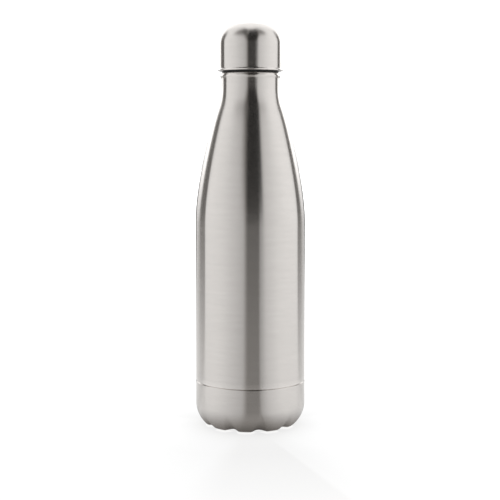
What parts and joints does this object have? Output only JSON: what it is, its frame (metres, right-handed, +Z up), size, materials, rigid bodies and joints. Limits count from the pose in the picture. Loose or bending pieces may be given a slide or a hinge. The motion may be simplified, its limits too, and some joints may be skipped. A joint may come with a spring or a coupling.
{
  "type": "insulated water bottle",
  "caption": "Slim double-walled steel water bottle with a tapered shoulder, scalloped base and domed screw-in stopper cap.",
  "frame": {"origin": "on the bottle's axis, in the plane its feet stand on", "axes": "+Z up along the axis towards the cap; -Y towards the middle of one foot; +X to the right of that"},
  "size_m": [0.07, 0.07, 0.2557],
  "materials": {
    "body_steel": "fine brushing round the axis, bare",
    "cap_steel": "fine brushing round the axis, bare",
    "liner_steel": "electropolished inside, bare",
    "cover_steel": "fine circular brushing, bare",
    "solder_glass": "dark solder glass",
    "copper_foil": "bright copper foil",
    "clip_steel": "bright stamped steel",
    "getter_metal": "dark sintered metal",
    "stopper_plastic": "black moulded polypropylene, fine satin",
    "white_foam": "closed-cell foam",
    "black_silicone": "black silicone, satin"
  },
  "bodies": {
    "bottle": {"outer_shell": "body_steel", "base_cup": "body_steel", "base_cover": "cover_steel", "vacuum_seal_bead": "solder_glass", "inner_liner": "liner_steel", "liner_bottom": "liner_steel", "reflective_foil": "copper_foil", "getter_clip": "clip_steel", "getter_pellet": "getter_metal"},
    "seal": {"gasket": "black_silicone"},
    "cap": {"cap_shell": "cap_steel", "stopper": "stopper_plastic", "stopper_floor": "stopper_plastic", "stopper_foam": "white_foam"}
  },
  "joints": [
    {"name": "cap_lift", "type": "slide", "parent": "bottle", "child": "seal", "axis": [0, 0, 1], "range_m": [0, 0.03]},
    {"name": "cap_turn", "type": "hinge", "parent": "seal", "child": "cap", "pos_m": [0, 0, 0.225], "axis": [0, 0, 1], "range_deg": [0, 2160]}
  ],
  "couplings": [
    {"joint": "cap_lift", "follows": "cap_turn", "m_per_rad": 0.00079577}
  ]
}
